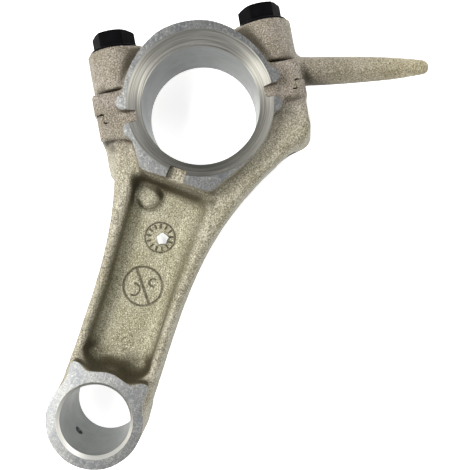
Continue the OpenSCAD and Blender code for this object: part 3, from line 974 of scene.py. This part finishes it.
def make_cap():
    """The cap: casting, faces, bore, joint, bolt seats and bolt holes."""
    cap = cast_object("cap", cap_field, (-41, -36), (22, 59), CAST)
    machine_faces(cap, -BEYOND, 50, BIG_HALF)
    machine_big_bore(cap)
    edge, inner, low = EAR_U + CAP_GAP, LIP_INNER - CAP_GAP, -LIP_HEIGHT - CAP_GAP
    outline = [(BEYOND, -edge), (BEYOND, edge), (low, edge), (low, inner), (0, inner), (0, -inner), (low, -inner),
               (low, -edge)]
    combine(cap, prism("parting", outline, 20, [MILLED]))
    for way in (-1, 1):
        combine(cap, corner_gap(-LIP_HEIGHT, way * (LIP_INNER + 0.3)))
    for way in (-1, 1):
        seat = [(SEAT_R, -SEAT - 4, 0), (SEAT_R, -SEAT, 0)]
        combine(cap, turned("seat", seat, place_on_bolt(way), [MILLED], 96))
        hole = [(BOLT_HOLE_R, -SEAT - 2, 0), (BOLT_HOLE_R, 2, 0)]
        combine(cap, turned("hole", hole, place_on_bolt(way), [MILLED], 64))
    return cap


def make_bolt(name, way):
    """A flanged hexagon bolt with a thread in phase with its hole's."""
    place = place_on_bolt(way)
    top = SEAT + HEAD_HEIGHT
    shank = [(THREAD_MAJOR, -SEAT - 0.6, 0), (THREAD_MAJOR, -5.0, 0)]
    shank += threaded_rows(-4.6, BOLT_TIP - 0.85)
    shank += [(3.1, BOLT_TIP - 0.35, 0), (2.65, BOLT_TIP, 0)]
    bolt = turned(name, shank, place, [BLACK], 64, thread_shape(0))
    flange = [(6.7, -SEAT - SEAT_GAP, 0), (6.9, -SEAT - 0.2, 0), (6.9, -SEAT - 0.75, 0), (6.75, -SEAT - 0.92, 0),
              (5.35, -SEAT - 1.6, 0), (4.9, -SEAT - 2.0, 0)]
    combine(bolt, turned("flange", flange, place, [BLACK], 96), "UNION")
    corner = HEX_ACROSS / 2 / math.cos(math.pi / 6)
    turns = [math.pi / 3 * n for n in range(6)]
    points = [place(corner, along, t) for along in (-SEAT - 0.5, -top) for t in turns]
    faces = [tuple(range(6)), tuple(range(6, 12))[::-1]]
    faces += [(n, (n + 1) % 6, 6 + (n + 1) % 6, 6 + n) for n in range(6)]
    head = solid("hexagon", points, faces, [BLACK])
    shape = bmesh.new()
    shape.from_mesh(head.data)
    sides = [e for e in shape.edges if abs(e.calc_length() - (top - SEAT - 0.5) * MM) < 1e-5]
    bmesh.ops.bevel(shape, geom=sides, offset=0.25 * MM, segments=3, affect="EDGES", profile=0.5)
    bmesh.ops.recalc_face_normals(shape, faces=shape.faces)
    shape.to_mesh(head.data)
    shape.free()
    crown = [(7.5, -SEAT, 0), (7.5, -top + 0.95, 0), (4.75, -top + 0.04, 0), (4.6, -top + 0.01, 0),
             (3.5, -top + 0.01, 0), (3.2, -top + 0.2, 0)]
    combine(head, turned("crown", crown, place, [BLACK], 96), "INTERSECT")
    combine(bolt, head, "UNION")
    return bolt


def finish_piece(piece, node, body):
    """Smooth shading with sharp creases; hides the piece's node and attaches the piece to its body."""
    piece.data.polygons.foreach_set("use_smooth", np.ones(len(piece.data.polygons), bool))
    piece.data.set_sharp_from_angle(angle=math.radians(CREASE))
    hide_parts(node)
    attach(piece, body)


rod = make_rod()
cap = make_cap()
plain_bolt = make_bolt("bolt_plain_side", -1)
dipper_bolt = make_bolt("bolt_dipper_side", 1)
finish_piece(rod, "rod_body", "rod")
finish_piece(cap, "rod_cap", "cap")
finish_piece(plain_bolt, "cap_bolt_plain_side", "plain_bolt")
finish_piece(dipper_bolt, "cap_bolt_dipper_side", "dipper_bolt")


# ---------------------------------------------------------------- camera, floor and light

CAMERA_PLACE = (26.47, 15.41, 143.6)  # in millimetres
FLOOR_GAP = 0.00005
FLOOR_GLOW = 0.8
WORLD_LIGHT = 0.2
WORLD_SEEN = 0.4  # brightness of the world above the fade
WORLD_FADE = 0.4  # height of the fade, as a direction's Z
LAMPS = (  # name, place to the right, up and above, size, power, colour
    ("key", (-0.37, 0.14, 0.55), 0.3, 3.8, (1.0, 0.99, 0.95)),
    ("sheen", (-0.28, -0.17, 0.5), 0.14, 1.1, (1.0, 0.99, 0.96)),
    ("top", (0.38, 0.45, 0.48), 0.3, 1.9, (0.98, 0.99, 1.0)),
    ("left", (-0.58, -0.12, 0.15), 0.3, 0.65, (1.0, 0.98, 0.92)),
    ("right", (0.6, -0.08, 0.17), 0.3, 0.5, (1.0, 0.98, 0.92)))


def make_camera():
    """The photo's camera, which looks straight down. Gives its right and up directions."""
    camera = bpy.data.cameras.new("camera")
    camera.sensor_width = 36
    camera.lens = 40.67
    camera.shift_x = 10 / 470
    camera.shift_y = -11 / 470
    camera.clip_start = 0.005
    thing = bpy.data.objects.new("camera", camera)
    right, up, back = (-0.3187, 0.9478, 0), (-0.9478, -0.3187, 0), (0, 0, 1)
    place = [c * MM for c in CAMERA_PLACE]
    thing.matrix_world = Matrix((
        (right[0], up[0], back[0], place[0]),
        (right[1], up[1], back[1], place[1]),
        (right[2], up[2], back[2], place[2]),
        (0, 0, 0, 1)))
    bpy.context.scene.collection.objects.link(thing)
    bpy.context.scene.camera = thing
    return right, up


def make_lamp(name, target, offset, size, power, colour):
    """A soft square lamp at an offset from a target, facing it, in metres."""
    lamp = bpy.data.lights.new(name, "AREA")
    lamp.size = size
    lamp.energy = power
    lamp.color = colour
    thing = bpy.data.objects.new(name, lamp)
    thing.location = target + offset
    thing.rotation_euler = (-offset).to_track_quat("-Z", "Y").to_euler()
    bpy.context.scene.collection.objects.link(thing)


def seen_or_mirrored(tree):
    """1 for rays from the camera, and for rays that a glossy or clear surface sends on."""
    path = tree.nodes.new("ShaderNodeLightPath")
    total = path.outputs["Is Camera Ray"]
    for other in ("Is Glossy Ray", "Is Transmission Ray"):
        larger = tree.nodes.new("ShaderNodeMath")
        larger.operation = "MAXIMUM"
        tree.links.new(total, larger.inputs[0])
        tree.links.new(path.outputs[other], larger.inputs[1])
        total = larger.outputs[0]
    return total


def make_floor():
    """A pale floor that looks white and keeps the object's soft shadow."""
    mesh = bpy.data.meshes.new("floor")
    reach = 3.0
    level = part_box("rod_body")[0].z - FLOOR_GAP
    corners = [(-reach, -reach, level), (reach, -reach, level), (reach, reach, level), (-reach, reach, level)]
    mesh.from_pydata(corners, [], [(0, 1, 2, 3)])
    floor = bpy.data.objects.new("floor", mesh)
    bpy.context.scene.collection.objects.link(floor)
    material = bpy.data.materials.new("floor")
    material.use_nodes = True
    tree = material.node_tree
    tree.nodes.clear()
    paint = tree.nodes.new("ShaderNodeBsdfDiffuse")
    paint.inputs["Color"].default_value = (0.9, 0.9, 0.9, 1)
    glow = tree.nodes.new("ShaderNodeEmission")
    gain = tree.nodes.new("ShaderNodeMath")
    gain.operation = "MULTIPLY"
    gain.inputs[1].default_value = FLOOR_GLOW
    tree.links.new(seen_or_mirrored(tree), gain.inputs[0])
    tree.links.new(gain.outputs[0], glow.inputs["Strength"])
    total = tree.nodes.new("ShaderNodeAddShader")
    tree.links.new(paint.outputs[0], total.inputs[0])
    tree.links.new(glow.outputs[0], total.inputs[1])
    out = tree.nodes.new("ShaderNodeOutputMaterial")
    tree.links.new(total.outputs[0], out.inputs["Surface"])
    mesh.materials.append(material)


def make_world():
    """Soft light from all round. Past the floor, the camera and mirrors see white that greys upwards."""
    world = bpy.data.worlds.new("world")
    bpy.context.scene.world = world
    world.use_nodes = True
    tree = world.node_tree
    tree.nodes.clear()
    light = tree.nodes.new("ShaderNodeBackground")
    light.inputs["Color"].default_value = (0.93, 0.96, 1.0, 1)
    light.inputs["Strength"].default_value = WORLD_LIGHT
    seen = tree.nodes.new("ShaderNodeBackground")
    seen.inputs["Color"].default_value = (1, 1, 1, 1)
    way = tree.nodes.new("ShaderNodeTexCoord")
    height = tree.nodes.new("ShaderNodeSeparateXYZ")
    level = tree.nodes.new("ShaderNodeMapRange")
    for key, number in zip(("From Min", "From Max", "To Min", "To Max"), (0, WORLD_FADE, 1, WORLD_SEEN)):
        level.inputs[key].default_value = number
    tree.links.new(way.outputs["Generated"], height.inputs[0])
    tree.links.new(height.outputs[2], level.inputs["Value"])
    tree.links.new(level.outputs["Result"], seen.inputs["Strength"])
    mix = tree.nodes.new("ShaderNodeMixShader")
    tree.links.new(seen_or_mirrored(tree), mix.inputs[0])
    tree.links.new(light.outputs[0], mix.inputs[1])
    tree.links.new(seen.outputs[0], mix.inputs[2])
    out = tree.nodes.new("ShaderNodeOutputWorld")
    tree.links.new(mix.outputs[0], out.inputs["Surface"])


RIGHT, UP = (Vector(v) for v in make_camera())
MIDDLE = Vector((0.035, 0.005, 0))
ABOVE = Vector((0, 0, 1))
make_floor()
make_world()
for name, (right, up, above), size, power, colour in LAMPS:
    make_lamp(name, MIDDLE, right * RIGHT + up * UP + above * ABOVE, size, power, colour)

bpy.context.scene.view_settings.view_transform = "Standard"
